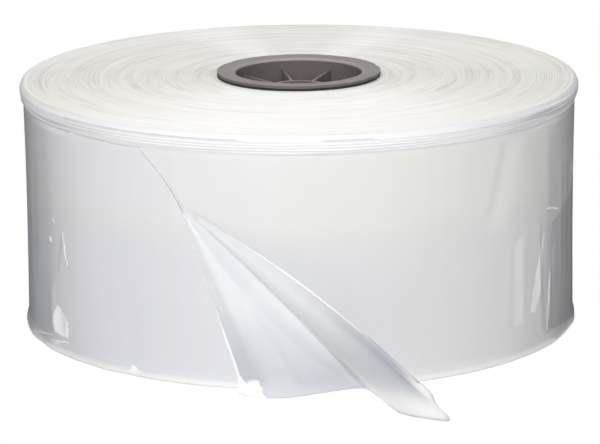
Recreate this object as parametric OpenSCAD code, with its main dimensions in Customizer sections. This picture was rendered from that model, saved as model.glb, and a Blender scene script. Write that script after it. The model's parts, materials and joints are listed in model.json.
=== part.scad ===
// Roll of poly tubing: clear film tubing wound flat on a paperboard core, with a plastic plug in
// each end of the core. The roll stands on its end. Its outermost wrap is loose at the front,
// where the free end is folded down over itself and its corner rests on the table.
// +Z is up along the core, -Y is the front, and the origin is on the core's axis at the table.
// Angles round the roll are measured from the front (-Y) towards +X.

/* [Film winding] */
// Width of the flattened tubing, which is the height of the roll
film_w = 127; // [60:1:300]
// Diameter of the winding at its wall, between the beads
roll_d = 285; // [200:1:400]
// How far the stacked folded edges bulge past the wall at each rim
bead_out = 1.8; // [0.6:0.1:3]
// Height of the bead at the upper rim
upper_bead_h = 10.5; // [6:0.5:16]
// Height of the bead at the lower rim
lower_bead_h = 6; // [4:0.5:10]
// Rounding from the end face into the upper bead
rim_round = 3.2; // [1:0.1:5]
// Radial distance between the turns that stand proud on the end faces
turn_pitch = 3.1; // [2:0.1:8]
// Depth of the valleys between those turns
turn_depth = 0.45; // [0.2:0.05:1]
// Gap between the first turn and the core
film_on_core = 0.1; // [0.05:0.05:0.3]

/* [Loose end of the film] */
// Angle at which the film's top edge leaves the upper bead
peel_az = -32.7; // [-60:0.1:-28]
// Angle of the point from which the folded flap opens
apex_az = -23.6; // [-26:0.1:-20]
// Height of that point over the table
apex_h = 89; // [50:1:100]
// Thickness of the folded tubing
tail_t = 0.6; // [0.4:0.1:1.2]
// Thickness of the soft roll along the fold
fold_t = 3; // [1.5:0.1:5]
// Reach of the free corner past the wall of the roll
corner_reach = 65.9; // [45:0.1:90]
// Angle of the free corner
corner_az = 19.2; // [18:0.1:22]
// Height of the fold over the table at the cut end
fold_end_h = 18.2; // [12:0.1:26]
// Reach of the flap's bulge past the wall, at the table
bulge_reach = 14.9; // [8:0.1:24]

/* [Core] */
// Bore of the paperboard core
core_bore = 76.2; // [70:0.1:110]
// Wall of the core
core_wall = 4.2; // [3:0.1:8]

/* [Core plug] */
// Thickness of the plug's flange
flange_t = 1.3; // [0.8:0.1:3]
// Radius of the rounded edge of the mouth
mouth_round = 2; // [0.5:0.1:2.4]
// Wall of the plug's cup
cup_wall = 2.2; // [1.5:0.1:2.2]
// Depth of the plug, from the top of its flange
plug_depth = 25; // [18:1:40]
// Thickness of the web that closes the cup round the hub
web_t = 2; // [1:0.1:4]
// Bore of the hub, for a 1 inch shaft
hub_bore = 25.6; // [20:0.1:30]
// Wall of the hub
hub_wall = 2.7; // [1.5:0.1:5]
// Depth of the hub's rim below the top of the flange
hub_drop = 8.5; // [6:0.1:12]
// Depth of the gussets' outer ends below the top of the flange
gusset_drop = 5.6; // [4:0.1:6]
// Thickness of a gusset
gusset_t = 1.5; // [1:0.1:3]
// Number of gussets round the hub
gussets = 8; // [4:1:12]
// Number of fins that grip the core's bore
fins = 12; // [6:1:24]
// Thickness of a fin
fin_t = 1.6; // [1:0.1:3]
// Height of a fin, from the cup's outside to the core's bore
fin_h = 3.1; // [1.5:0.1:6]
// Gap between the fins and the core's bore
plug_fit = 0.1; // [0.05:0.05:0.3]
// Depth of the shallow scallops in the flange's rim
scallop = 0.5; // [0.2:0.1:1]

/* [Hidden] */
$fn = 96;

// Winding
wall_r = roll_d / 2;
core_r = core_bore / 2 + core_wall;
film_bore_r = core_r + film_on_core;
bead_r = wall_r + bead_out;
waist = 0.4;
edge_step = 0.35;
face_r = bead_r - rim_round;
turns = floor((face_r - film_bore_r) / turn_pitch);
turn_w = (face_r - film_bore_r) / turns;

// Stack of core and plugs
core_z = flange_t;
core_len = film_w;
core_top = core_z + core_len;

// Plug, with its flange's top face at z = 0 and its cup below
flange_r = core_r;
fin_r = core_bore / 2 - plug_fit;
sleeve_r = fin_r - fin_h;
mouth_r = sleeve_r - cup_wall;
cup_draft = 0.6;
fin_lead = 1.2;
fin_lead_h = 5;
hub_r = hub_bore / 2 + hub_wall;
gusset_az = -15;
scallop_r = 30;

// Loose end of the film: columns of points for each point of its edge, and rows down the fold line
// from the rim to the apex and down the film from the apex to the edge
cols_per_point = 2;
neck_rows = 4;
film_rows = 8;
peel_h = film_w - upper_bead_h - 1.5;
neck_bow = 0.8;
neck_w = 1.6;
sunk = 3;
lift = 0.5;
soft = 0.26;

// A point at an angle round the roll, at a reach past the wall and at a height
function polar(az, reach, z) = [(wall_r + reach) * sin(az), -(wall_r + reach) * cos(az), z];

// Depth of the valley at a turn, which varies along the winding
function valley(i) = turn_depth * (0.6 + 0.4 * sin(i * 137.5));

// End face of the winding, from the core outwards: a crest and a valley for each turn
function face_profile(z, down) = [
    for (i = [0:turns - 1], k = [0, 1])
        [film_bore_r + (i + k * 0.55) * turn_w, z - down * k * valley(i)]
];

// Stacked edges of the outer turns, from the top of a bead to its foot
function bead_profile(z_top, z_foot, steps) = [
    for (i = [0:steps - 1], k = [0, 1])
        let (f = (i + k * 0.8) / steps)
            [wall_r + bead_out * (1 - f * f) - k * edge_step * (1 - f), z_top + (z_foot - z_top) * f]
];

// Half section of the winding
function winding_profile() = concat(
    reverse(face_profile(0, -1)),
    face_profile(film_w, 1),
    [for (a = [90:-15:0]) [face_r + rim_round * cos(a), film_w - rim_round * (1 - sin(a))]],
    bead_profile(film_w - rim_round, film_w - upper_bead_h, 4),
    [[wall_r, film_w - upper_bead_h - 1], [wall_r - waist, film_w / 2], [wall_r, lower_bead_h + 1]],
    reverse(bead_profile(edge_step, lower_bead_h, 3)),
    [[face_r + rim_round / 2, 0]]
);

function reverse(list) = [for (i = [len(list) - 1:-1:0]) list[i]];

// Reach of the winding past its wall at a height, which grows at the beads
function bead_reach(z) =
    bead_out * (max(0, 1 - (z / lower_bead_h) ^ 2) + max(0, 1 - ((film_w - z) / upper_bead_h) ^ 2));

// Edge of the loose film, as [angle, reach past the wall, height, thickness]. It starts at the flap's
// corner on the table, follows the flap's cut end past its bulge, lies against the roll, goes out to
// the free corner, where the film is double, and climbs the cut end to the fold.
reach_f = corner_reach / 66;
edge = [
    [corner_az - 30.1, bulge_reach * 0.38, 0, tail_t],
    [corner_az - 27.4, bulge_reach * 0.68, 0, tail_t],
    [corner_az - 23.4, bulge_reach, 0, tail_t],
    [corner_az - 19.4, bulge_reach * 0.82, 0, tail_t],
    [corner_az - 15.5, bulge_reach * 0.5, 0, tail_t],
    [corner_az - 10.1, bead_out + lift + 0.5, 0, tail_t],
    [corner_az - 7.3, bead_out + lift, 0, tail_t],
    [corner_az - 6, reach_f * 19, 0, tail_t * 1.5],
    [corner_az - 5.5, reach_f * 38, 0, tail_t * 2],
    [corner_az - 4.2, reach_f * 51, 0, tail_t * 2],
    [corner_az, corner_reach, 0, tail_t * 2],
    [corner_az - 1.1, reach_f * 62, fold_end_h * 0.42, tail_t * 2],
    [corner_az - 1.8, reach_f * 59.4, fold_end_h * 0.74, fold_t],
    [corner_az - 3.2, reach_f * 54.9, fold_end_h, tail_t * 2]
];

// Smooth curve through the edge's points, for u from 0 to 1
function edge_at(u) =
    let (
        last = len(edge) - 1,
        i = min(floor(u * last), last - 1),
        f = u * last - i,
        p0 = edge[max(i - 1, 0)],
        p1 = edge[i],
        p2 = edge[i + 1],
        p3 = edge[min(i + 2, last)],
        p = p1 * (1 - f) ^ 3 + (p1 + (p2 - p0) * soft) * 3 * f * (1 - f) ^ 2
            + (p2 - (p3 - p1) * soft) * 3 * f * f * (1 - f) + p2 * f ^ 3
    )
        [p[0], p[1], max(p[2], 0), p[3]];

function edge_point(u) = let (e = edge_at(u)) polar(e[0], e[1], e[2]);

// Keeps a point of the film over the table, and no nearer to the winding's surface than reach
function off_wall(p, reach) =
    let (k = max(1, (wall_r + bead_reach(p[2]) + reach) / norm([p[0], p[1]])))
        [p[0] * k, p[1] * k, max(p[2], 0)];

// Where column u crosses the neck of the fold, which runs down from the rim to the apex
function neck_point(u, f, reach) =
    polar(
        peel_az + (apex_az - peel_az) * f + neck_bow * sin(180 * f)
            + (u - 0.5) * neck_w * (0.3 + 0.7 * f) / wall_r * 180 / PI,
        reach,
        peel_h + (apex_h - peel_h) * f
    );

// Way across the film at column u, from its front towards the roll
function across(u) =
    let (n = cross(edge_point(min(u + 0.005, 1)) - edge_point(max(u - 0.005, 0)), edge_point(u) - neck_point(u, 1, 0)))
        n / norm(n);

function film_point(u, v, reach, depth) =
    off_wall(neck_point(u, 1, reach) * (1 - v) + (edge_point(u) + across(u) * depth) * v, reach);

cols = (len(edge) - 1) * cols_per_point;

// One side of the film, row by row: its front at a depth of 0, or its back at its own thickness
function film_side(reach, back) = concat(
    [for (i = [0:neck_rows], c = [0:cols]) neck_point(c / cols, i / neck_rows, reach)],
    [for (i = [1:film_rows], c = [0:cols])
        film_point(c / cols, i / film_rows, reach, back * edge_at(c / cols)[3])]
);

rows = neck_rows + film_rows;
side_n = (rows + 1) * (cols + 1);

function at(side, r, c) = side * side_n + r * (cols + 1) + c;

// Two triangles between four points of the sheet
function quad(a, b, c, d) = [[a, b, c], [a, c, d]];

module loose_film() {
    polyhedron(
        points = concat(film_side(lift, 0), film_side(-sunk, 1)),
        faces = concat(
            [for (r = [0:rows - 1], c = [0:cols - 1])
                each quad(at(0, r, c), at(0, r, c + 1), at(0, r + 1, c + 1), at(0, r + 1, c))],
            [for (r = [0:rows - 1], c = [0:cols - 1])
                each quad(at(1, r, c), at(1, r + 1, c), at(1, r + 1, c + 1), at(1, r, c + 1))],
            [for (c = [0:cols - 1])
                each quad(at(0, 0, c), at(1, 0, c), at(1, 0, c + 1), at(0, 0, c + 1))],
            [for (c = [0:cols - 1])
                each quad(at(0, rows, c), at(0, rows, c + 1), at(1, rows, c + 1), at(1, rows, c))],
            [for (r = [0:rows - 1])
                each quad(at(0, r, 0), at(0, r + 1, 0), at(1, r + 1, 0), at(1, r, 0))],
            [for (r = [0:rows - 1])
                each quad(at(0, r, cols), at(1, r, cols), at(1, r + 1, cols), at(0, r + 1, cols))]
        )
    );
}

module winding() {
    rotate_extrude($fn = 180) polygon(winding_profile());
}

module film_roll() {
    color([0.87, 0.88, 0.88]) {
        winding();
        loose_film();
    }
}

module core_tube() {
    color([0.66, 0.52, 0.38])
        translate([0, 0, core_z])
            difference() {
                cylinder(h = core_len, r = core_r);
                translate([0, 0, -1]) cylinder(h = core_len + 2, d = core_bore);
            }
}

// One moulded plug, with the top of its flange at z = 0
module core_plug() {
    difference() {
        union() {
            plug_shell();
            plug_gussets();
            plug_fins();
        }
        translate([0, 0, -plug_depth - 1]) cylinder(h = plug_depth + 2, d = hub_bore);
        flange_scallops();
    }
}

// Flange, cup, web and hub as one turned section
module plug_shell() {
    rotate_extrude()
        polygon(concat(
            [[flange_r, 0], [flange_r, -flange_t], [sleeve_r, -flange_t], [sleeve_r - cup_draft, -plug_depth]],
            [[hub_bore / 2 - 1, -plug_depth], [hub_bore / 2 - 1, -hub_drop], [hub_r, -hub_drop]],
            [[hub_r, web_t - plug_depth], [mouth_r - cup_draft, web_t - plug_depth]],
            [for (a = [0:15:90]) [mouth_r + mouth_round * (1 - cos(a)), -mouth_round * (1 - sin(a))]]
        ));
}

// Gussets whose top edge slopes from the cup's wall down to the hub's rim
module plug_gussets() {
    for (i = [0:gussets - 1])
        rotate([0, 0, 90 - gusset_az - i * 360 / gussets])
            translate([0, gusset_t / 2, 0])
                rotate([90, 0, 0])
                    linear_extrude(gusset_t)
                        polygon([
                            [hub_r - 1, -hub_drop],
                            [mouth_r + 0.4, -gusset_drop],
                            [mouth_r - cup_draft + 0.4, web_t / 2 - plug_depth],
                            [hub_r - 1, web_t / 2 - plug_depth]
                        ]);
}

// Fins on the outside of the cup, each with a sloping lead-in at the far end
module plug_fins() {
    for (i = [0:fins - 1])
        rotate([0, 0, i * 360 / fins])
            translate([0, fin_t / 2, 0])
                rotate([90, 0, 0])
                    linear_extrude(fin_t)
                        polygon([
                            [sleeve_r - cup_wall / 2, -flange_t / 2],
                            [fin_r, -flange_t / 2],
                            [fin_r, fin_lead_h - plug_depth],
                            [fin_r - fin_lead, -plug_depth],
                            [sleeve_r - cup_wall / 2, -plug_depth]
                        ]);
}

module flange_scallops() {
    for (i = [0:gussets - 1])
        rotate([0, 0, 90 - gusset_az - i * 360 / gussets])
            translate([flange_r + scallop_r - scallop, 0, -flange_t - 1])
                cylinder(h = flange_t + 2, r = scallop_r);
}

module core_plug_top() {
    color([0.47, 0.44, 0.43]) translate([0, 0, core_top + flange_t]) core_plug();
}

module core_plug_bottom() {
    color([0.47, 0.44, 0.43]) rotate([180, 0, 0]) core_plug();
}

film_roll();
core_tube();
core_plug_bottom();
core_plug_top();
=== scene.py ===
import json
import math
import random
import bpy
from mathutils import Matrix, Vector, noise

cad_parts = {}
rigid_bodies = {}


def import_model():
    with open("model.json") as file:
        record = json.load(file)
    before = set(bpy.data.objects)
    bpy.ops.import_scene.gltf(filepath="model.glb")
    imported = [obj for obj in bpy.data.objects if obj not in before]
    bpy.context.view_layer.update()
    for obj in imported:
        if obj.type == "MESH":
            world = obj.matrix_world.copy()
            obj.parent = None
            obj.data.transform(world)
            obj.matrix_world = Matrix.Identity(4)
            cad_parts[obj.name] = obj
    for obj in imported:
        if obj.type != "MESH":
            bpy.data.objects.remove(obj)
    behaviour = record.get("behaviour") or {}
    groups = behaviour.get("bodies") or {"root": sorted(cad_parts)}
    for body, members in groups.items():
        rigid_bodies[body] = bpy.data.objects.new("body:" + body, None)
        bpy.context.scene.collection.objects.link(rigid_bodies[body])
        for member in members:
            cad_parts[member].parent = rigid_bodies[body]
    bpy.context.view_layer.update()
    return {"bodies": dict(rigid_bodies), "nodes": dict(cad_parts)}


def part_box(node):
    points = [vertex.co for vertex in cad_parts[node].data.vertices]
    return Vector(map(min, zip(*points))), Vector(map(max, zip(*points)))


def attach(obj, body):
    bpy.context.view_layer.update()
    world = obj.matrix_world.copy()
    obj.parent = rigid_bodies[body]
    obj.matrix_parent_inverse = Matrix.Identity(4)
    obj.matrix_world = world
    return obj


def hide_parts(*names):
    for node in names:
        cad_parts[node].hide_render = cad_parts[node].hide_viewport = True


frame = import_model()
body = next(iter(frame["bodies"]))
mm = 0.001

# Sizes that every piece shares, from the frame's own boxes
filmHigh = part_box("film_roll")[1]
beadR = filmHigh[0]
filmW = filmHigh[2]
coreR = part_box("core_tube")[1][0]

shape = {  # the winding's own form, in metres
    "beadOut": 1.8 * mm,
    "upperBeadH": 10.5 * mm,
    "lowerBeadH": 6 * mm,
    "rimRound": 3.2 * mm,
    "waist": 0.4 * mm,
}
wallR = beadR - shape["beadOut"]


def onRoll(az, radius, z):  # az in degrees from the front (-Y) towards +X
    turn = math.radians(az)
    return Vector((radius * math.sin(turn), -radius * math.cos(turn), z))


def ease(t):
    t = max(0.0, min(1.0, t))
    return t * t * (3 - 2 * t)


def hump(x, middle, half):  # 1 at the middle, 0 past half a width away
    t = abs(x - middle) / half
    return 0.0 if t >= 1 else (1 - t * t) ** 2


def azGap(az, middle):  # signed angle from middle, from -180 to 180
    return (az - middle + 180) % 360 - 180


def makeMesh(name, points, faces, material, crisp=()):  # crisp: face numbers that stay flat
    mesh = bpy.data.meshes.new(name)
    mesh.from_pydata([tuple(p) for p in points], [], faces)
    mesh.materials.append(material)
    for face in mesh.polygons:
        face.use_smooth = face.index not in crisp
    mesh.update()
    piece = bpy.data.objects.new(name, mesh)
    bpy.context.scene.collection.objects.link(piece)
    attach(piece, body)
    return piece


def ringMesh(rows, steps, closed):  # rows of points round the core, as one band or one closed skin
    points = [p for row in rows for p in row]
    faces = []
    last = len(rows) if closed else len(rows) - 1
    for r in range(last):
        below = (r + 1) % len(rows)
        for s in range(steps):
            onward = (s + 1) % steps
            faces.append((r * steps + s, r * steps + onward, below * steps + onward, below * steps + s))
    return points, faces


class Wire:  # a node's socket, so that shader maths reads as plain arithmetic
    def __init__(self, tree, made=None, out=0):
        self.tree = tree
        self.made = made
        self.socket = made.outputs[out] if made else None

    def node(self, kind, settings=None, sockets=None, out=0):
        made = self.tree.nodes.new(kind)
        for name, value in (settings or {}).items():
            setattr(made, name, value)
        for name, value in (sockets or {}).items():
            if isinstance(value, Wire):
                self.tree.links.new(value.socket, made.inputs[name])
            else:
                made.inputs[name].default_value = value
        return Wire(self.tree, made, out)

    def side(self, out):  # another output of the same node
        return Wire(self.tree, self.made, out)

    def maths(self, operation, left, right=0.0):
        return self.node("ShaderNodeMath", {"operation": operation}, {0: left, 1: right})

    def __add__(self, other):
        return self.maths("ADD", self, other)

    def __radd__(self, other):
        return self.maths("ADD", other, self)

    def __sub__(self, other):
        return self.maths("SUBTRACT", self, other)

    def __rsub__(self, other):
        return self.maths("SUBTRACT", other, self)

    def __mul__(self, other):
        return self.maths("MULTIPLY", self, other)

    def __rmul__(self, other):
        return self.maths("MULTIPLY", other, self)

    def __truediv__(self, other):
        return self.maths("DIVIDE", self, other)

    def between(self, low, high):  # 0 below low, 1 above high, smooth between
        settings = {"interpolation_type": "SMOOTHSTEP"}
        return self.node("ShaderNodeMapRange", settings, {"Value": self, "From Min": low, "From Max": high})

    def blend(self, first, second):  # a colour from first to second as this value goes from 0 to 1
        settings = {"data_type": "RGBA", "clamp_factor": True}
        return self.node("ShaderNodeMix", settings, {0: self, 6: first, 7: second}, 2)


def colour(red, green, blue):
    return (red, green, blue, 1)


def newMaterial(name, constants):
    material = bpy.data.materials.new(name)
    material.use_nodes = True
    tree = material.node_tree
    shader = tree.nodes["Principled BSDF"]
    for socket, value in constants.items():
        shader.inputs[socket].default_value = value
    return material, Wire(tree), shader


def plug(shader, socket, wire):
    wire.tree.links.new(wire.socket, shader.inputs[socket])


def roundTheCore(start):  # radius, sine and cosine of the angle, and height, from the object's own place
    place = start.node("ShaderNodeTexCoord", None, None, "Object")
    split = place.node("ShaderNodeSeparateXYZ", None, {0: place})
    across, deep, height = split, split.side(1), split.side(2)
    squared = across * across + deep * deep
    radius = squared.maths("POWER", squared, 0.5)
    return place, radius, across / radius, deep / radius, height


def noiseOn(start, vector, scale, detail):
    return start.node("ShaderNodeTexNoise", None, {"Vector": vector, "Scale": scale, "Detail": detail})


def vectorOf(start, x, y, z):
    return start.node("ShaderNodeCombineXYZ", None, {0: x, 1: y, 2: z})


def bumpFrom(start, height, distance):
    return start.node("ShaderNodeBump", None, {"Height": height, "Distance": distance})


# End faces and beads: the stacked folded edges of the turns

turnEdges = {
    "base": colour(0.90, 0.89, 0.86),
    # a random warmer tone, also used for painted shade towards the roll's left and right sides
    "warm": colour(0.85, 0.82, 0.745),
    "line": colour(0.60, 0.58, 0.54),
    # painted shade at the back of the end face and round the core at the sides
    "paintedFaceShade": colour(0.66, 0.65, 0.62),
    # painted sheen, in wedges at the back of the end face
    "paintedSheen": colour(0.97, 0.955, 0.93),
    "bead": colour(0.87, 0.87, 0.88),
    # the bead's creases, also used for painted shade at its foot and its left and right sides
    "creaseAndShade": colour(0.52, 0.52, 0.56),
    "roughness": 0.42,
    "fineTurns": 2300.0,  # turn lines per metre of radius
    "coarseTurns": 420.0,
    "beadLines": 1000.0,  # lines per metre of height on the bead
    "fineShare": 0.95,  # how strongly the lines show, fine and coarse, and the bead's creases at the sides
    "coarseShare": 0.28,
    "creaseShare": 0.85,
    "nearCore": (48 * mm, 76 * mm),  # the shade round the core, from and to this radius
    "onBead": (2.8 * mm, 0.6 * mm),  # where the bead starts, inside its own radius
    "fineBump": 0.12 * mm,
}


def turnEdgeMaterial():
    look = turnEdges
    material, start, shader = newMaterial("turn_edges", {"IOR": 1.5, "Specular IOR Level": 0.5})
    place, radius, sine, cosine, height = roundTheCore(start)
    fineAt = vectorOf(start, radius * look["fineTurns"], sine * 1.6, cosine * 1.6)
    coarseAt = vectorOf(start, radius * look["coarseTurns"], sine * 1.1, cosine * 1.1)
    fine = noiseOn(start, fineAt, 1.0, 2.0)
    coarse = noiseOn(start, coarseAt, 1.0, 3.0)
    warmAt = vectorOf(start, radius * 60.0, sine * 1.5, cosine * 1.5)
    warmth = noiseOn(start, warmAt, 1.0, 2.0).between(0.42, 0.68)
    off = sine.maths("ABSOLUTE", sine)
    # painted shade: the end face turns warmer and darker towards the roll's left and right sides
    aside = off.between(0.45, 1.0)
    ivoryWithSideShade = (warmth * 0.3 + aside * 0.5).blend(look["base"], look["warm"])
    partial = noiseOn(start, vectorOf(start, radius * 150.0, sine * 2.5, cosine * 2.5), 1.0, 1.0)
    # painted shade: darker at the back of the end face, and round the core at the sides
    behind = cosine.between(-0.5, 0.15) * 0.35
    nearCore = (1 - radius.between(*look["nearCore"])) * aside * 0.45
    shaded = behind.maths("MAXIMUM", behind, nearCore).blend(ivoryWithSideShade, look["paintedFaceShade"])
    # painted sheen: paler wedges either side of the middle at the back of the end face
    band = off.between(0.12, 0.32) * (1 - off.between(0.38, 0.58)) * cosine.between(0.3, 0.7)
    paintedSheen = (band * 0.55).blend(shaded, look["paintedSheen"])
    dark = fine.between(0.57, 0.66) * partial.between(0.38, 0.58) * look["fineShare"]
    dark = dark + coarse.between(0.61, 0.65) * look["coarseShare"]
    lined = (dark * (0.5 + aside * 0.5)).blend(paintedSheen, look["line"])
    first, last = look["onBead"]
    onBead = radius.between(beadR - first, beadR - last)
    beadAt = vectorOf(start, height * look["beadLines"], sine * 1.8, cosine * 1.8)
    creased = noiseOn(start, beadAt, 1.0, 2.0).between(0.51, 0.60)
    onSide = 1 - height.between(filmW - 4 * mm, filmW - 1 * mm)
    # crease lines on the bead, and painted shade at its foot and towards the roll's left and right sides
    foot = 1 - height.between(filmW - shape["upperBeadH"], filmW - shape["upperBeadH"] + 3 * mm)
    edge = off.between(0.55, 0.92)
    creasesAndShade = creased * (0.15 + edge * look["creaseShare"]) + foot * (0.12 + edge * 0.3) + edge * 0.38
    bead = creasesAndShade.blend(look["bead"], look["creaseAndShade"])
    plug(shader, "Base Color", (onBead * onSide).blend(onBead.blend(lined, look["bead"]), bead))
    plug(shader, "Roughness", look["roughness"] + fine * 0.12)
    relief = fine * 0.6 + coarse * 1.2
    plug(shader, "Normal", bumpFrom(start, relief, look["fineBump"]))
    return material


winding = {
    "steps": 440,
    "turnPitch": 1.32 * mm,
    "turnDepth": 0.22 * mm,
    "proudRange": 0.13 * mm,
    "beadRidges": 5,
    "ridgeDepth": 0.30 * mm,
    "beadWobble": 0.3 * mm,
    "behindWrap": 1.2 * mm,  # how far the skin lies back where the outer wrap covers it
    "lowerFaceZ": 0.4 * mm,
    "lowerStep": 4,  # the lower face, out of sight, keeps every fourth row
    "mostProud": 0.35 * mm,
    "seed": 11,
    # turns whose edge stands out along part of its way: radius, first and last angle, step
    "standingTurns": [
        (113.5 * mm, 88, 152, 0.32 * mm),
        (85.0 * mm, 84, 140, 0.26 * mm),
        (76.0 * mm, 38, 70, -0.22 * mm),
        (86.6 * mm, -138, -84, 0.26 * mm),
        (106.0 * mm, -112, -62, 0.22 * mm),
        (118.6 * mm, -118, -70, 0.2 * mm),
        (129.0 * mm, -120, -74, 0.22 * mm),
        (99.0 * mm, 20, 66, 0.2 * mm),
        (123.0 * mm, 190, 250, 0.22 * mm),
        (66.0 * mm, 150, 215, 0.2 * mm),
    ],
}


def turnHeights():  # how far each turn's edge stands out of the end face
    dice = random.Random(winding["seed"])
    heights = []
    level = 0.0
    turnCount = int((beadR - shape["rimRound"] - coreR) / winding["turnPitch"])
    for i in range(turnCount):
        level = 0.82 * level + dice.uniform(-1, 1) * 0.5
        heights.append(level * winding["proudRange"])
    return heights


def faceLift(radius, az, along):  # slow waves of the end face, and its standing turns
    turn = math.radians(az)
    at = Vector((math.sin(turn) * 1.3, math.cos(turn) * 1.3, radius * 60 + along))
    lift = noise.noise(at) * 0.12 * mm
    for turnR, first, last, step in winding["standingTurns"]:
        middle = (first + last) / 2
        reach = hump(azGap(az, middle), 0, (last - first) / 2)
        gap = radius - turnR
        if reach and abs(gap) < 4 * mm:
            lift += step * reach * (ease(0.5 + gap / (0.9 * mm)) - ease(gap / (4 * mm)))
    return lift


def faceRows(z, up, along):  # end face from the bore outwards; up is 1, or -1 for the lower face
    rows = []
    heights = turnHeights()
    pitch = (beadR - shape["rimRound"] - coreR) / len(heights)
    for i, proud in enumerate(heights):
        for part, drop in ((0.0, 0.0), (0.62, winding["turnDepth"])):
            radius = coreR + (i + part) * pitch
            row = []
            for s in range(winding["steps"]):
                az = s * 360 / winding["steps"]
                turn = math.radians(az)
                fade = 0.65 + 0.7 * noise.noise(Vector((math.sin(turn), math.cos(turn), i * 0.37 + along)))
                high = proud * fade - drop * (0.4 + fade) + faceLift(radius, az, along)
                row.append(onRoll(az, radius, max(0.0, z + up * min(winding["mostProud"], high))))
            rows.append(row)
    return rows


def ringRow(radius, z, wobble=0.0, seed=0.0):
    row = []
    for s in range(winding["steps"]):
        az = s * 360 / winding["steps"]
        turn = math.radians(az)
        shift = wobble * noise.noise(Vector((math.sin(turn) * 3, math.cos(turn) * 3, seed)))
        row.append(onRoll(az, radius + shift, z))
    return row


def beadRows():  # upper rim from the end face down to the foot of the bead
    rows = []
    faceR = beadR - shape["rimRound"]
    top = filmW
    for i in range(7):
        turn = math.radians(90 - i * 15)
        radius = faceR + shape["rimRound"] * math.cos(turn)
        z = top - shape["rimRound"] * (1 - math.sin(turn))
        rows.append(ringRow(radius, z, 0.12 * mm, 3.1 + i * 0.2))
    start = top - shape["rimRound"]
    foot = top - shape["upperBeadH"]
    count = winding["beadRidges"]
    for i in range(count):
        for part, dip in ((0.0, 0.0), (0.3, 0.1), (0.7, 0.35), (0.92, 1.0)):
            f = (i + part) / count
            radius = wallR + shape["beadOut"] * (1 - f * f) - dip * winding["ridgeDepth"] * (1 - 0.5 * f)
            rows.append(ringRow(radius, start + (foot - start) * f, winding["beadWobble"], 7.3 + i * 0.61))
    return rows


def filmWinding(material):
    rows = faceRows(filmW, 1, 0.0)
    rows += beadRows()
    inner = wallR - winding["behindWrap"]
    for z in (filmW - shape["upperBeadH"] - 1 * mm, filmW / 2, shape["lowerBeadH"]):
        rows.append(ringRow(inner, z))
    rows.append(ringRow(beadR - 2.2 * mm, 2 * mm))
    rows.append(ringRow(beadR - shape["rimRound"], 0.35 * mm))
    lowerRows = faceRows(winding["lowerFaceZ"], -1, 5.0)[::winding["lowerStep"]]
    rows += reversed(lowerRows)
    points, faces = ringMesh(rows, winding["steps"], True)
    upper = range((2 * len(turnHeights()) - 1) * winding["steps"])
    lower = range(len(faces) - len(lowerRows) * winding["steps"], len(faces))
    piece = makeMesh("film_winding", points, faces, material, {*upper, *lower})
    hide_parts("film_roll")
    return piece


# Outer wrap: the last turn of clear film over the wall, with its ripples, dents and lower lip

wrap = {
    # angles of the mesh: from, to and step, in degrees, finer where the dents are seen edge on
    "columns": [(-80, -45, 0.25), (-45, 45, 0.7), (45, 85, 0.25), (85, 280, 0.8)],
    "rows": 130,
    "under": 0.5 * mm,
    "tuck": 0.2 * mm,  # the top of the wrap goes in under the bead by this much, over this height
    "tuckH": 3 * mm,
    "soft": 0.16 * mm,  # slow and quick waves of the whole wall
    "fine": 0.05 * mm,
    # standing ripples: angle, width in degrees, lowest and highest z, lean in degrees, height
    "ripples": [
        (46.5, 1.6, 12, 62, 0.8, 0.22),
        (51.5, 1.9, 10, 74, 1.2, 0.34),
        (57.5, 2.0, 8, 70, -1.6, 0.40),
        (63.0, 2.4, 6, 66, 1.0, -0.30),
        (68.5, 2.0, 20, 96, 0.0, 0.30),
        (75.0, 2.4, 14, 110, 0.6, -0.28),
        (61.0, 3.2, 70, 112, -2.0, 0.22),
        (43.0, 3.8, 62, 108, -3.0, 0.16),
        (-62.0, 2.2, 8, 34, 0.0, 0.34),
        (-57.0, 1.5, 42, 66, 2.2, 0.26),
        (-72.0, 3.0, 30, 100, 0.6, -0.24),
        (112.0, 3.0, 14, 96, 1.5, 0.34),
        (121.0, 2.6, 8, 70, -1.2, 0.30),
        (152.0, 3.4, 30, 104, 2.0, 0.24),
        (-118.0, 2.8, 12, 84, -1.4, 0.32),
        (-140.0, 3.2, 24, 100, 1.0, 0.26),
        (-166.0, 2.6, 8, 56, 0.8, 0.26),
    ],
    # small dents and blisters: angle, z, half width and half height in mm, depth in mm
    "dents": [
        (-62.3, 57.3, 1.6, 2.4, -0.40),
        (-60.8, 68.0, 1.8, 1.6, -0.28),
        (-56.0, 55.0, 1.5, 9.0, -0.30),
        (-58.3, 16.0, 7.0, 9.5, 0.50),
        (-51.2, 116.0, 3.6, 1.8, 0.30),
        (64.0, 70.0, 7.5, 1.5, 0.30),
        (57.4, 40.0, 2.6, 22.0, -0.32),
        (62.6, 28.0, 3.0, 24.0, -0.36),
        (70.0, 91.8, 1.4, 2.2, -0.35),
        (79.0, 82.0, 2.2, 10.0, -0.40),
        (134.0, 60, 5.0, 8.0, 0.35),
        (-150.0, 40, 4.0, 7.0, 0.35),
    ],
}


def bulge(z):  # how far the stacked edges bulge past the wall
    low = max(0.0, 1 - (z / shape["lowerBeadH"]) ** 2)
    high = max(0.0, 1 - ((filmW - z) / shape["upperBeadH"]) ** 2)
    return shape["beadOut"] * (low + high)


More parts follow.
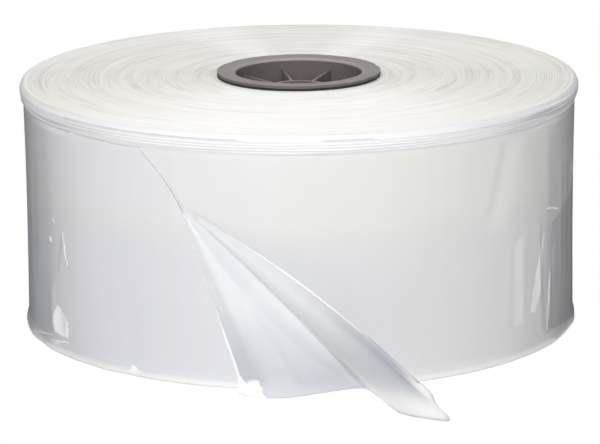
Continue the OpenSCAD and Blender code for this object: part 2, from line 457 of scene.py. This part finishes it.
def wrapReach(az, z):  # reach of the wrap past the wall
    turn = math.radians(az)
    f = (z - shape["lowerBeadH"]) / (filmW - shape["lowerBeadH"] - shape["upperBeadH"])
    reach = -shape["waist"] * math.sin(math.pi * max(0.0, min(1.0, f)))
    soft = noise.noise(Vector((math.sin(turn) * 5, math.cos(turn) * 5, z * 14)))
    fine = noise.noise(Vector((math.sin(turn) * 14, math.cos(turn) * 14, z * 30 + 4)))
    reach += soft * wrap["soft"] + fine * wrap["fine"]
    high = z / mm
    for middle, width, low, top, lean, tall in wrap["ripples"]:
        f = (high - low) / (top - low)
        if 0 < f < 1:
            gap = azGap(az, middle + lean * (f - 0.5))
            reach += tall * mm * hump(gap, 0, width) * math.sin(math.pi * f) ** 0.6
    for middle, at, wide, tall, deep in wrap["dents"]:
        gap = azGap(az, middle)
        if abs(gap) < 5 and abs(high - at) < tall:
            across = gap * math.pi / 180 * wallR / (wide * mm)
            reach -= deep * mm * hump(math.hypot(across, (high - at) / tall), 0, 1)
    reach -= wrap["tuck"] * ease((z - filmW + shape["upperBeadH"] + wrap["tuckH"]) / wrap["tuckH"])
    foot = max(0.0, 1 - (z / shape["lowerBeadH"]) ** 2)
    ruffle = 0.6 + 0.4 * noise.noise(Vector((math.sin(turn) * 9, math.cos(turn) * 9, 2.0)))
    return reach + shape["beadOut"] * foot * ruffle


filmWall = {
    # painted reflection: the wall's lower part is bluer and darker than its upper part, with a darker band
    # between them at bandZ; the tones also differ from left to right
    "leftUpper": colour(0.745, 0.745, 0.765),
    "rightUpper": colour(0.76, 0.757, 0.735),
    "leftLower": colour(0.70, 0.705, 0.75),
    "rightLower": colour(0.72, 0.722, 0.735),
    "band": colour(0.70, 0.698, 0.68),
    "lip": colour(0.90, 0.90, 0.90),
    # painted highlight, for the light patches
    "paintedHighlight": colour(0.97, 0.97, 0.97),
    # painted shade at the wall's left and right sides
    "edge": colour(0.44, 0.44, 0.455),
    # painted shade, for the darker patches: a panel on the right side and thin dark lines
    "paintedWallShade": colour(0.43, 0.43, 0.455),
    # painted shade, for the darker patch low on the left side
    "deep": colour(0.50, 0.53, 0.60),
    "bandZ": 75 * mm,
    "roughness": 0.36,
    "sideShade": (0.70, 0.90),  # painted: sine of the angle at which the sides start to darken, and end
    "sideShare": 0.5,
    "behind": (-0.15, 0.38),  # patches fade out behind, from and to this cosine
    "raggedScale": 260.0,
    "raggedArc": 2.4,  # how far a patch's border wanders round the roll and up, in mm
    "raggedRise": 1.6,
    "lipZ": (1.5 * mm, 4.5 * mm),
}

# Highlights and darker panels that the photo shows on the wall, painted as tones: look, share,
# softness in mm, and corners anticlockwise as angle in degrees and height in mm
patches = [
    ("paintedHighlight", 0.80, 0.5, [
        (-61.3, 9.2), (-54.9, 9.3), (-55.1, 18.1), (-57.4, 22.5), (-59.6, 24.9), (-61.6, 18.0),
    ]),
    ("paintedHighlight", 0.90, 0.3, [(-60.0, 5.2), (-54.9, 6.6), (-54.9, 7.6), (-60.0, 6.2)]),
    ("paintedHighlight", 1.00, 0.5, [(-63.1, 56.3), (-61.6, 55.8), (-61.5, 58.6), (-62.4, 59.5), (-63.2, 58.4)]),
    ("paintedHighlight", 1.00, 0.3, [(-56.4, 56.4), (-55.8, 56.4), (-56.4, 63.8), (-56.8, 63.8)]),
    ("paintedHighlight", 1.00, 0.3, [(-55.2, 46.6), (-54.9, 47.0), (-55.8, 56.6), (-56.4, 56.6)]),
    ("paintedHighlight", 1.00, 0.3, [(-60.3, 66.6), (-60.0, 67.4), (-61.3, 69.3), (-61.7, 68.9)]),
    ("paintedHighlight", 1.00, 0.4, [(-52.3, 115.7), (-49.8, 116.3), (-49.8, 117.2), (-53.0, 117.0)]),
    ("paintedHighlight", 0.60, 0.4, [(-73.0, 2.2), (-61.4, 7.3), (-61.4, 8.4), (-73.0, 3.4)]),
    ("paintedHighlight", 1.00, 0.3, [(-36.2, 1.2), (-33.4, 2.4), (-35.7, 6.4)]),
    ("deep", 0.60, 9.0, [(-116, 6), (-61.5, 6), (-62.0, 30), (-66.0, 54), (-75.7, 67.5), (-116, 71)]),
    ("paintedHighlight", 0.90, 0.3, [(60.8, 71.3), (66.8, 67.9), (66.9, 68.9), (64.0, 71.0), (60.8, 72.2)]),
    ("paintedHighlight", 0.55, 0.7, [
        (53.7, 21.5), (56.0, 20.1), (57.9, 31.2), (59.3, 51.1), (59.6, 62.2), (57.2, 52.0),
    ]),
    ("paintedHighlight", 0.55, 0.5, [
        (60.0, 7.5), (61.4, 8.0), (62.8, 23.6), (65.2, 50.2), (64.6, 53.5), (63.6, 51.1), (60.8, 25.1),
    ]),
    ("paintedHighlight", 0.28, 2.2, [(48.0, 16.0), (51.6, 16.0), (51.6, 62.0), (49.4, 64.0), (48.0, 58.0)]),
    ("paintedWallShade", 0.80, 0.6, [
        (61.4, 7.9), (68.3, 5.8), (82.9, 2.5), (116, 2.5), (116, 74.5), (82, 73), (69.6, 68.5), (63.4, 63.2),
    ]),
    ("paintedHighlight", 0.20, 8.0, [(38.5, 66), (47.0, 66), (53.5, 116), (45.0, 116)]),
    ("paintedWallShade", 0.16, 5.0, [(38.5, 76), (42.3, 76), (47.0, 117), (43.2, 117)]),
    ("paintedHighlight", 1.00, 0.3, [(80.4, 72.0), (81.4, 72.0), (78.4, 84.0), (77.2, 92.0), (76.6, 90.6)]),
    ("paintedWallShade", 0.80, 0.25, [(-64.0, 117.0), (-32.7, 115.5), (-32.6, 116.1), (-64.0, 117.8)]),
]


def insideOf(arc, height, soft, corners):  # 1 inside the corners; arc and height in mm
    mask = 1.0
    perDegree = math.pi / 180 * wallR / mm
    for (az, z), (nextAz, nextZ) in zip(corners, corners[1:] + corners[:1]):
        run = (nextAz - az) * perDegree
        rise = nextZ - z
        long = math.hypot(run, rise)
        gap = arc * (-rise / long) + height * (run / long) + (az * perDegree * rise - z * run) / long
        mask = gap.between(0.0, soft) * mask
    return mask


def filmWallMaterial():
    look = filmWall
    constants = {"IOR": 1.45, "Coat Roughness": 0.19, "Coat IOR": 1.45, "Specular IOR Level": 0.1}
    material, start, shader = newMaterial("film_wall", constants)
    place, radius, sine, cosine, height = roundTheCore(start)
    cloudAt = vectorOf(start, sine * 3.0, cosine * 3.0, height * 9.0)
    cloud = noiseOn(start, cloudAt, 1.0, 3.0)
    strandAt = vectorOf(start, sine * 16.0, cosine * 16.0, height * 5.0)
    strand = noiseOn(start, strandAt, 1.0, 2.0)
    wavy = height + (cloud - 0.5) * (8 * mm)
    right = sine.between(-0.75, 0.45)
    upper = right.blend(look["leftUpper"], look["rightUpper"])
    lower = right.blend(look["leftLower"], look["rightLower"])
    # painted reflection: lower and upper tones, parted by a darker band at bandZ
    tone = wavy.between(look["bandZ"] - 12 * mm, look["bandZ"] + 6 * mm).blend(lower, upper)
    away = (wavy - look["bandZ"]).maths("ABSOLUTE", wavy - look["bandZ"])
    onBand = 1 - away.between(1 * mm, 10 * mm)
    banded = (onBand * 0.3).blend(tone, look["band"])
    shaded = (strand.between(0.35, 0.75) * 0.12 + cloud.between(0.4, 0.7) * 0.10).blend(banded, look["band"])
    # painted shade: the wall darkens towards its left and right sides
    paintedSideShade = sine.maths("ABSOLUTE", sine).between(*look["sideShade"]) * look["sideShare"]
    shaded = paintedSideShade.blend(shaded, look["edge"])
    ragged = noiseOn(start, place, look["raggedScale"], 2.0)
    other = start.node("ShaderNodeSeparateXYZ", None, {0: ragged.side("Color")})
    arc = sine.maths("ARCTAN2", sine, 0 - cosine) * (wallR / mm) + (ragged - 0.5) * look["raggedArc"]
    tall = height / mm + (other - 0.5) * look["raggedRise"]
    ahead = 1 - cosine.between(*look["behind"])
    # painted highlights and painted shade, laid on one patch at a time
    for kind, share, soft, corners in patches:
        shaded = (insideOf(arc, tall, soft, corners) * ahead * share).blend(shaded, look[kind])
    onLip = 1 - height.between(*look["lipZ"])
    plug(shader, "Base Color", (onLip * 0.8).blend(shaded, look["lip"]))
    plug(shader, "Roughness", look["roughness"] + (cloud - 0.5) * 0.2)
    plug(shader, "Coat Weight", 0.8 + (strand - 0.5) * 0.4)
    plug(shader, "Normal", bumpFrom(start, strand * 0.7 + cloud * 0.6, 0.12 * mm))
    return material


def wrapAngles():
    angles = []
    for first, last, step in wrap["columns"]:
        count = round((last - first) / step)
        angles += [first + (last - first) * i / count for i in range(count)]
    return angles


def outerWrap(material):
    rows = []
    top = filmW - shape["upperBeadH"] + 0.3 * mm
    reach = top - 0.4 * mm
    levels = [top] + [0.25 * mm + reach * (1 - i / wrap["rows"]) for i in range(wrap["rows"] + 1)]
    angles = wrapAngles()
    for z in levels:
        rows.append([onRoll(az, wallR + wrapReach(az, z), z) for az in angles])
    inner = wallR - shape["waist"] - 1.5 * wrap["under"]
    for radius, z in ((wallR + 0.2 * mm, 0.2 * mm), (inner, shape["lowerBeadH"]), (inner, top)):
        rows.append([onRoll(az, radius, z) for az in angles])
    points, faces = ringMesh(rows, len(angles), True)
    piece = makeMesh("outer_wrap", points, faces, material)
    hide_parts("film_roll")
    return piece


# Loose end: the flattened tubing folded down over itself, with its corner on the table

loose = {
    "peelAz": -32.7,
    "apexAz": -23.6,
    "apexZ": 89 * mm,
    "neckBow": 0.8,
    "neckW": 1.6 * mm,
    "neckDepth": 0.3 * mm,
    "lift": 0.5 * mm,  # of the film's front off the roll, and of its back
    "backLift": 0.05 * mm,
    "thick": 0.4 * mm,
    "soft": 0.26,
    "hemRate": 105 * mm,  # width of film for each unit of u beside the hem, and beside the crest
    "crestRate": 70 * mm,
    "flare": 4 * mm,
    "bow": 4.5 * mm,
    "flat": (127 * mm, 170 * mm),  # the tubing's flat width, and the length that hangs loose
    "area": 0.0079,  # the mesh's own, in square metres
    "columns": 200,
    "neckRows": 24,
    "filmRows": 96,
    # edge of the film: angle in degrees, then reach past the wall and height in mm
    "edge": [
        (-10.9, 5.66, 0),
        (-8.2, 10.1, 0),
        (-4.2, 14.9, 0),
        (-0.2, 12.2, 0),
        (3.7, 7.45, 0),
        (9.1, 2.8, 0),
        (11.9, 2.3, 0),
        (13.2, 19, 0),
        (13.7, 38, 0),
        (15, 51, 0),
        (19.2, 65.9, 0),
        (18.1, 62, 7.6),
        (17.4, 59.3, 13.5),
        (16, 54.8, 18.2),
    ],
}
peelZ = filmW - shape["upperBeadH"] - 1.5 * mm


def columnAt(c):  # columns of points crowd towards both edges of the film
    t = c / loose["columns"]
    return t - 0.8 * math.sin(2 * math.pi * t) / (2 * math.pi)


def edgeAt(u):  # smooth curve through the edge's points, for u from 0 to 1
    edge = loose["edge"]
    last = len(edge) - 1
    i = min(int(u * last), last - 1)
    f = u * last - i
    p0 = edge[max(i - 1, 0)]
    p1 = edge[i]
    p2 = edge[i + 1]
    p3 = edge[min(i + 2, last)]
    weights = ((1 - f) ** 3, 3 * f * (1 - f) ** 2, 3 * f * f * (1 - f), f ** 3)
    found = []
    for k in range(3):
        handle = p1[k] + (p2[k] - p0[k]) * loose["soft"]
        other = p2[k] - (p3[k] - p1[k]) * loose["soft"]
        found.append(sum(w * c for w, c in zip(weights, (p1[k], handle, other, p2[k]))))
    return found


def edgePoint(u):
    az, reach, z = edgeAt(u)
    return onRoll(az, wallR + reach * mm, max(0.0, z) * mm)


def neckPoint(u, f, reach):  # across the neck of the fold, which runs from the rim down to the apex
    az = loose["peelAz"] + (loose["apexAz"] - loose["peelAz"]) * f
    az += loose["neckBow"] * math.sin(math.pi * f)
    az += math.degrees((u - 0.5) * loose["neckW"] * (0.3 + 0.7 * f) / wallR)
    return onRoll(az, wallR + reach, peelZ + (loose["apexZ"] - peelZ) * f)


def across(u):  # way through the film at column u, from its front towards the roll
    ahead = edgePoint(min(u + 0.005, 1)) - edgePoint(max(u - 0.005, 0))
    return ahead.cross(edgePoint(u) - neckPoint(u, 1, 0)).normalized()


def offWall(point, reach):
    out = math.hypot(point.x, point.y)
    k = max(1.0, (wallR + bulge(max(0.0, point.z)) + reach) / out)
    return Vector((point.x * k, point.y * k, max(0.15 * mm, point.z)))


def roll(gap, radius):  # height of a round hem of this radius, at a gap from the film's edge
    along = gap / radius - 1
    return radius * math.sqrt(max(0.0, 1 - along * along))


def filmPoint(u, v, depth, reach):
    foot = edgePoint(u) + across(u) * depth
    point = neckPoint(u, 1, reach).lerp(foot, v)
    out = noise.noise(Vector((u * 5, v * 2.2, 0.7))) * 0.8 * mm * v * min(1.0, u * 6)
    out += roll(u * loose["hemRate"] * v, (0.2 + 0.8 * ease(v * 1.6 - 0.6)) * mm)
    out += roll((1 - u) * loose["crestRate"] * v, (0.25 + 0.4 * ease(v * 1.4)) * mm)
    out += loose["flare"] * hump(u, 0.05, 0.12) * max(0.0, (v - 0.88) / 0.12) ** 2
    bow = Vector((0.6, 0, 0.8)) * (loose["bow"] * math.sin(math.pi * v) * u ** 3)
    return offWall(point - across(u) * out + bow, reach)


def paintedHighlightAt(u, v):  # painted highlight where the film's hem, corner and crest catch the light, and a soft one along the valley
    hem = hump(u, 0.010 * v, 0.010 + 0.018 * v) * ease((v - 0.5) * 5)
    ragged = 0.02 * noise.noise(Vector((u * 40, v * 30, 3.3)))
    corner = ease((v - 0.93 + 0.5 * abs(u - 0.06) + ragged) * 60) * (1 - ease((u - 0.11 + ragged) * 60))
    crest = hump(u, 1, 0.030) * hump(v, 0.50, 0.34)
    valley = 0.14 * hump(u, 0.49, 0.14) * ease(v * 2.5 - 0.4)
    return min(1.0, hem + corner + crest + valley)


def foldLinesAndShadeAt(u, v):  # darker lines along the neck, the crest and the cut edge, and painted shade in a broad panel under the crest
    neck = 1 - ease(v * 20)
    crest = 0.6 * hump(u, 1, 0.010) * ease((v - 0.70) * 8)
    crest += 0.95 * hump(u, 0.82, 0.26) * ease(v * 2.2 - 0.8) * (1 - ease((v - 0.84) * 8))
    cut = 0.8 * ease((v - 0.985) * 120) * ease((u - 0.5) * 8)
    return min(1.0, neck * hump(u, 0, 0.5) + (1 - neck) * crest + cut)


def looseFilm(material):
    columns = loose["columns"]
    places = [columnAt(c) for c in range(columns + 1)]
    rows = []
    for i in range(loose["neckRows"]):
        f = i / loose["neckRows"]
        front = [neckPoint(u, f, loose["lift"]) for u in places]
        back = [neckPoint(u, f, -loose["neckDepth"]) for u in places]
        rows.append(front + back[::-1])
    for i in range(loose["filmRows"] + 1):
        v = i / loose["filmRows"]
        front = [filmPoint(u, v, 0.0, loose["lift"]) for u in places]
        back = [filmPoint(u, v, loose["thick"], loose["backLift"]) for u in places]
        rows.append(front + back[::-1])
    points, faces = ringMesh(rows, 2 * columns + 2, False)
    width = 2 * columns + 2
    for c in range(columns):
        faces.append((c + 1, c, width - 1 - c, width - 2 - c))
        base = (len(rows) - 1) * width
        faces.append((base + c, base + c + 1, base + width - 2 - c, base + width - 1 - c))
    piece = makeMesh("loose_film", points, faces, material)
    for name, rule in (("foldLinesAndShade", foldLinesAndShadeAt), ("paintedHighlight", paintedHighlightAt)):
        found = piece.data.attributes.new(name, "FLOAT", "POINT")
        for i, point in enumerate(found.data):
            row, place = divmod(i, width)
            u = places[min(place, width - 1 - place)]
            point.value = rule(u, max(0.0, (row - loose["neckRows"]) / loose["filmRows"]))
    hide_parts("film_roll")
    piece.visible_shadow = False  # clear film darkens nothing behind it
    return piece


looseLook = {
    # painted shade: the film turns darker and bluer towards its lower part, and is lighter far out from the
    # roll
    "near": colour(0.76, 0.77, 0.79),
    "far": colour(0.47, 0.485, 0.53),
    "table": colour(0.79, 0.79, 0.77),
    # darker fold lines, and painted shade under the crest
    "foldLinesAndShade": colour(0.31, 0.32, 0.385),
    # painted highlight on the hem, corner, crest and valley
    "paintedHighlight": colour(0.97, 0.97, 0.97),
    "alpha": 0.42,
    "roughness": 0.40,
}


def looseFilmMaterial():
    look = looseLook
    constants = {"IOR": 1.45, "Coat Roughness": 0.20, "Coat IOR": 1.45}
    material, start, shader = newMaterial("loose_film", constants)
    place, radius, sine, cosine, height = roundTheCore(start)
    cloud = noiseOn(start, place, 22.0, 3.0)
    foldLinesAndShade = start.node("ShaderNodeAttribute", {"attribute_name": "foldLinesAndShade"}, None, "Fac")
    paintedHighlight = start.node("ShaderNodeAttribute", {"attribute_name": "paintedHighlight"}, None, "Fac")
    # painted shade: darker towards the film's lower part; lighter far out from the roll
    out = radius.between(wallR + 8 * mm, wallR + 34 * mm)
    low = 1 - (height + (cloud - 0.5) * (20 * mm)).between(0.0, 48 * mm)
    film = out.blend(low.blend(look["near"], look["far"]), look["table"])
    plug(shader, "Base Color", paintedHighlight.blend(foldLinesAndShade.blend(film, look["foldLinesAndShade"]), look["paintedHighlight"]))
    plug(shader, "Roughness", look["roughness"] + (cloud - 0.5) * 0.2)
    plug(shader, "Coat Weight", 0.28 + (cloud - 0.5) * 0.3)
    plug(shader, "Alpha", look["alpha"] - out * 0.08 + foldLinesAndShade * 0.2 + paintedHighlight * 0.4)
    fine = noiseOn(start, place, 160.0, 2.0)
    plug(shader, "Normal", bumpFrom(start, cloud + fine * 0.15, 0.4 * mm))
    return material


# Core plugs: moulded grey-brown plastic

plugLook = {
    "base": colour(0.172, 0.147, 0.143),
    # painted highlight on slopes that face partly upwards
    "slopeHighlight": colour(0.50, 0.45, 0.44),
    "dust": colour(0.20, 0.175, 0.17),
    "roughness": 0.48,
}


def plugMaterial():
    look = plugLook
    material, start, shader = newMaterial("plug_plastic", {"IOR": 1.48, "Specular IOR Level": 0.10})
    place, radius, sine, cosine, height = roundTheCore(start)
    cloud = noiseOn(start, place, 60.0, 3.0)
    grain = noiseOn(start, place, 2600.0, 2.0)
    facing = start.node("ShaderNodeNewGeometry", None, None, "Normal")
    upward = facing.node("ShaderNodeSeparateXYZ", None, {0: facing}, 2)
    edge = upward.between(0.15, 0.4) * (1 - upward.between(0.88, 0.97))  # painted highlight: slopes that face partly upwards, such as the webs' top edges, are lighter
    dusty = (cloud.between(0.45, 0.75) * 0.5).blend(look["base"], look["dust"])
    plug(shader, "Base Color", (edge * 0.85).blend(dusty, look["slopeHighlight"]))
    plug(shader, "Roughness", look["roughness"] + (cloud - 0.5) * 0.25)
    plug(shader, "Normal", bumpFrom(start, grain + cloud * 2.0, 0.06 * mm))
    return material


# Core: spirally wound paperboard

coreLook = {
    "board": colour(0.40, 0.29, 0.19),
    "fibre": colour(0.48, 0.36, 0.25),
    "seam": colour(0.22, 0.15, 0.10),
    "outside": colour(0.03, 0.025, 0.022),  # painted shade: the outer ply is near black, so that it shows as a dark line under the flange
    "plyWidth": 70 * mm,
}


def coreMaterial():
    look = coreLook
    material, start, shader = newMaterial("core_board", {"IOR": 1.45, "Specular IOR Level": 0.3})
    place, radius, sine, cosine, height = roundTheCore(start)
    turn = sine.maths("ARCTAN2", sine, cosine) / (2 * math.pi)
    spiral = (height / look["plyWidth"] + turn).maths("FRACT", height / look["plyWidth"] + turn)
    seam = 1 - (spiral - 0.5).maths("ABSOLUTE", spiral - 0.5).between(0.004, 0.014)
    fibre = noiseOn(start, place, 900.0, 4.0)
    board = fibre.between(0.35, 0.7).blend(look["board"], look["fibre"])
    # painted shade: the outer ply near black
    outside = radius.between(coreR - 0.4 * mm, coreR - 0.2 * mm)
    plug(shader, "Base Color", outside.blend((seam * 0.8).blend(board, look["seam"]), look["outside"]))
    plug(shader, "Roughness", 0.72 + (fibre - 0.5) * 0.3)
    plug(shader, "Normal", bumpFrom(start, fibre - seam * 1.5, 0.12 * mm))
    return material


def dressNode(name, material):
    slots = frame["nodes"][name].material_slots
    for slot in slots:
        slot.material = material


# Camera, floor, world and lamps

view = {
    "back": 1.7163,
    "high": 0.4748,
    "down": 13.949,
    "roll": -0.5,
    "focalPixels": 3380.28,
    "framePixels": 600,
    "sensor": 36.0,
}


def makeCamera():
    data = bpy.data.cameras.new("camera")
    data.sensor_width = view["sensor"]
    data.lens = view["focalPixels"] / view["framePixels"] * view["sensor"]
    camera = bpy.data.objects.new("camera", data)
    tilt = Matrix.Rotation(math.radians(90 - view["down"]), 4, "X")
    roll = Matrix.Rotation(math.radians(view["roll"]), 4, "Z")
    camera.rotation_euler = (tilt @ roll).to_euler()
    camera.location = (0, -view["back"], view["high"])
    bpy.context.scene.collection.objects.link(camera)
    bpy.context.scene.camera = camera


stage = {
    "floorHalf": 12.0,
    "floorTone": 0.88,
    "glow": 1.03,  # strength of the white that the camera sees on the floor
    "shown": 0.94,  # share of it there, so the floor keeps the roll's shadow
    "fill": 0.06,  # light from the surroundings
    "aimAt": (0, 0, 0.06),
}


def sawDirectly(start):  # 1 for rays from the camera, and for those seen in gloss or through film
    path = start.node("ShaderNodeLightPath", None, None, "Is Camera Ray")
    seen = path.maths("MAXIMUM", path, path.side("Is Glossy Ray"))
    return seen.maths("MAXIMUM", seen, path.side("Is Transmission Ray"))


def makeFloor():
    half = stage["floorHalf"]
    mesh = bpy.data.meshes.new("floor")
    corners = [(-half, -half, 0), (half, -half, 0), (half, half, 0), (-half, half, 0)]
    mesh.from_pydata(corners, [], [(0, 1, 2, 3)])
    floor = bpy.data.objects.new("floor", mesh)
    bpy.context.scene.collection.objects.link(floor)
    material = bpy.data.materials.new("white_table")
    material.use_nodes = True
    tree = material.node_tree
    start = Wire(tree)
    shader = tree.nodes["Principled BSDF"]
    tone = stage["floorTone"]
    shader.inputs["Base Color"].default_value = colour(tone, tone, tone)
    shader.inputs["Roughness"].default_value = 0.8
    glow = start.node("ShaderNodeEmission", None, {"Color": colour(1, 1, 1), "Strength": stage["glow"]})
    mixed = start.node("ShaderNodeMixShader", None, {0: sawDirectly(start) * stage["shown"], 2: glow})
    tree.links.new(shader.outputs[0], mixed.made.inputs[1])
    tree.links.new(mixed.socket, tree.nodes["Material Output"].inputs["Surface"])
    mesh.materials.append(material)


def makeWorld():
    world = bpy.data.worlds.new("studio")
    world.use_nodes = True
    bpy.context.scene.world = world
    tree = world.node_tree
    start = Wire(tree)
    soft = tree.nodes["Background"]
    soft.inputs["Color"].default_value = colour(1, 1, 1)
    soft.inputs["Strength"].default_value = stage["fill"]
    white = start.node("ShaderNodeBackground", None, {"Color": colour(1, 1, 1), "Strength": 1.0})
    mixed = start.node("ShaderNodeMixShader", None, {0: sawDirectly(start), 2: white})
    tree.links.new(soft.outputs[0], mixed.made.inputs[1])
    tree.links.new(mixed.socket, tree.nodes["World Output"].inputs["Surface"])


lamps = [  # name, place, width and height, power
    ("front_box", (-0.28, -0.95, 0.75), (0.9, 0.5), 8.0),
    ("front_low", (0.0, -1.6, 0.45), (1.4, 0.5), 1.8),
    ("left_box", (-1.0, -0.75, 0.7), (0.5, 0.7), 1.2),
    ("right_box", (0.85, -0.85, 0.7), (0.5, 0.7), 3.6),
    ("back_left", (-0.24, 1.0, 1.6), (0.25, 0.4), 2.5),
    ("back_right", (0.24, 1.0, 1.6), (0.25, 0.4), 2.5),
    ("back_box", (0.0, 1.4, 0.9), (0.7, 0.5), 4.0),
    ("top_front", (0.0, -0.45, 1.1), (0.9, 0.4), 1.2),
    ("left_strip", (-0.62, 0.24, 0.14), (0.25, 0.20), 1.2),
    ("right_strip", (0.62, 0.24, 0.14), (0.25, 0.20), 1.2),
]


def makeLamps():
    for name, place, size, power in lamps:
        data = bpy.data.lights.new(name, "AREA")
        data.shape = "RECTANGLE"
        data.size, data.size_y = size
        data.energy = power
        lamp = bpy.data.objects.new(name, data)
        lamp.location = place
        aim = Vector(stage["aimAt"]) - Vector(place)
        lamp.rotation_euler = aim.to_track_quat("-Z", "Y").to_euler()
        lamp.visible_camera = False
        lamp.visible_diffuse = "strip" not in name  # strips only make the small highlights
        bpy.context.scene.collection.objects.link(lamp)


cards = {  # dark cards out of the picture that edge the film, seen in its gloss alone
    "standing": {"first": (0.42, 0.78), "last": (0.98, -0.05), "tall": 0.6},
    # corners of the one that lies at the right, which the left mirrors
    "lying": [
        (0.10, -0.07), (0.150, -0.055), (0.249, 0.0126),
        (0.56, 0.25), (0.60, 0.80), (0.20, 0.80), (0.10, 0.10),
    ],
    "lyingZ": 1 * mm,
}


def makeCard(name, points, material):
    mesh = bpy.data.meshes.new(name)
    mesh.from_pydata(points, [], [tuple(range(len(points)))])
    mesh.materials.append(material)
    card = bpy.data.objects.new(name, mesh)
    card.visible_camera = False
    card.visible_shadow = False
    card.visible_diffuse = False
    bpy.context.scene.collection.objects.link(card)


def makeCards():
    material = bpy.data.materials.new("dark_card")
    material.use_nodes = True
    shader = material.node_tree.nodes["Principled BSDF"]
    shader.inputs["Base Color"].default_value = colour(0.05, 0.05, 0.055)
    shader.inputs["Roughness"].default_value = 0.9
    for side in ("left", "right"):
        way = -1 if side == "left" else 1
        makeCard(side + "_card", [(way * x, y, cards["lyingZ"]) for x, y in cards["lying"]], material)
        standing = cards["standing"]
        low = [(way * x, y, 0.0) for x, y in (standing["first"], standing["last"])]
        high = [(x, y, standing["tall"]) for x, y, z in reversed(low)]
        makeCard(side + "_flag", low + high, material)


makeCamera()
makeWorld()
makeFloor()
makeLamps()
makeCards()
print("stage is set")

filmWinding(turnEdgeMaterial())
print("winding made")
outerWrap(filmWallMaterial())
print("outer wrap made")
looseFilm(looseFilmMaterial())
print("loose end made")
plastic = plugMaterial()
dressNode("core_plug_top", plastic)
dressNode("core_plug_bottom", plastic)
dressNode("core_tube", coreMaterial())
print("plugs and core dressed")

bpy.context.scene.view_settings.view_transform = "Standard"
